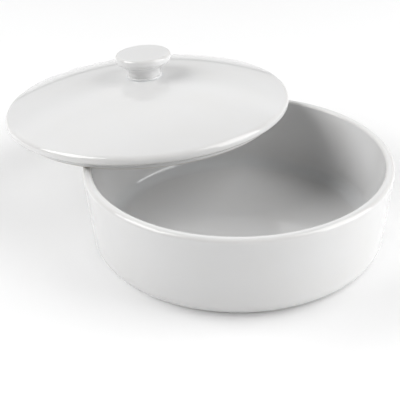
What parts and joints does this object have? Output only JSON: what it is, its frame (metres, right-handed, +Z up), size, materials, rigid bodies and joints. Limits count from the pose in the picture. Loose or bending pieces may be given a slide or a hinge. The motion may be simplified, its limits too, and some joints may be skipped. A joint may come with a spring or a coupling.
{
  "type": "tortilla warmer",
  "caption": "Round white glazed-ceramic tortilla warmer: a low bowl with a leaning wall and a domed lid with a mushroom knob, resting ajar on the rim.",
  "frame": {"origin": "centre of the bowl's foot ring, in the plane of the table", "axes": "+Z up; the lid is pushed off centre along -X, so XZ is the mirror plane of the whole; +X points out over the open side of the bowl"},
  "size_m": [0.3415, 0.23, 0.1179],
  "materials": {
    "bowl_glaze": "glossy white glaze over stoneware, with a bare matt foot ring",
    "lid_glaze": "glossy white glaze over stoneware, with a bare matt end on the locating ring",
    "knob_glaze": "glossy white glaze over stoneware"
  },
  "bodies": {
    "bowl": {"bowl": "bowl_glaze"},
    "lid": {"lid": "lid_glaze", "knob": "knob_glaze"}
  },
  "joints": [
    {"name": "lid_lift", "type": "slide", "parent": "bowl", "child": "lid", "axis": [0, 0, 1], "range_m": [0, 0.15]}
  ]
}
